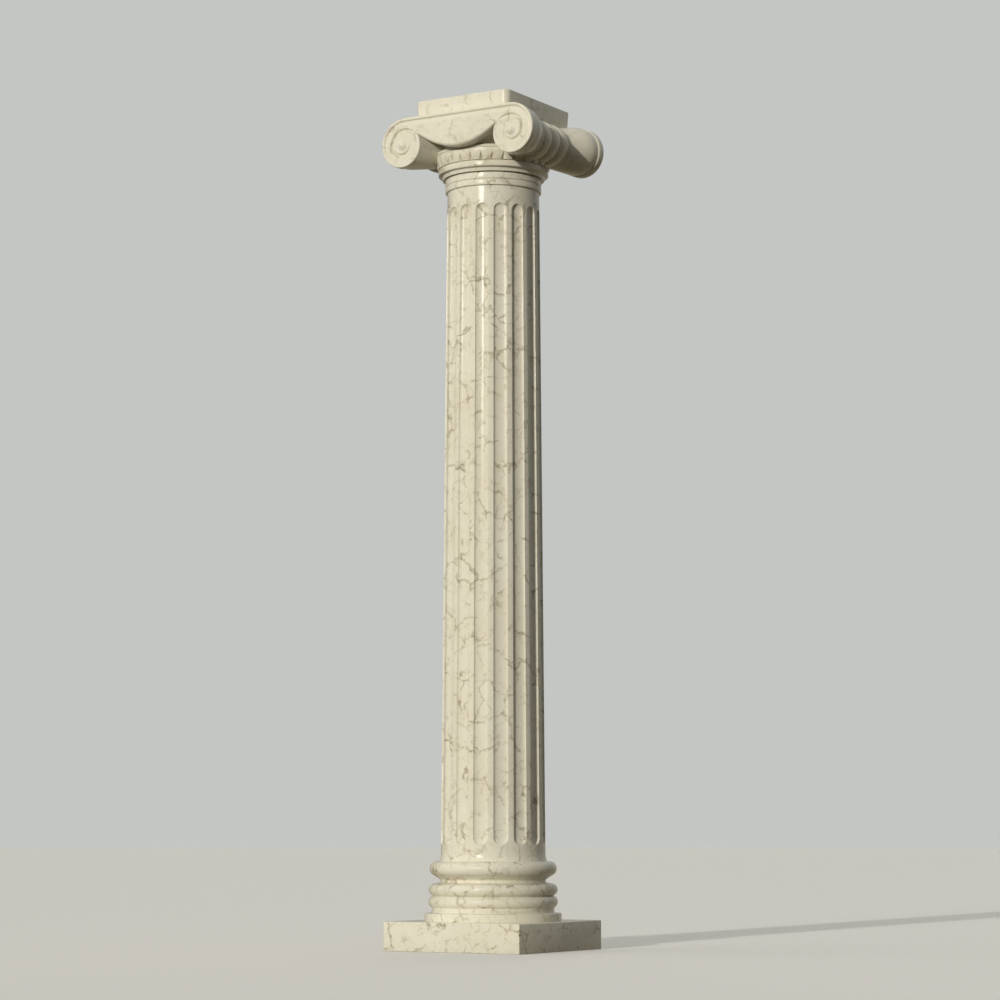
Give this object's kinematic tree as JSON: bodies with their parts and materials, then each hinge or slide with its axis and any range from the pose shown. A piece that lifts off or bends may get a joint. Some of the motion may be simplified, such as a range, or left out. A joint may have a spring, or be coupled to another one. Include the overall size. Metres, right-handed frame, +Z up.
{
  "type": "ionic column",
  "caption": "Free-standing marble Ionic column: square plinth, moulded round base, tapering fluted shaft and a scrolled capital with egg-and-dart band, bolsters and flat abacus.",
  "frame": {"origin": "centre of the plinth's underside, on the ground", "axes": "+Z up along the shaft; the scrolled faces of the capital look along -Y and +Y, the bolsters lie at -X and +X"},
  "size_m": [0.6286, 0.553, 3],
  "materials": {
    "marble": "polished cream-white marble with fine grey-brown veins"
  },
  "bodies": {
    "root": {"plinth": "marble", "base": "marble", "shaft": "marble", "capital": "marble"}
  },
  "joints": []
}
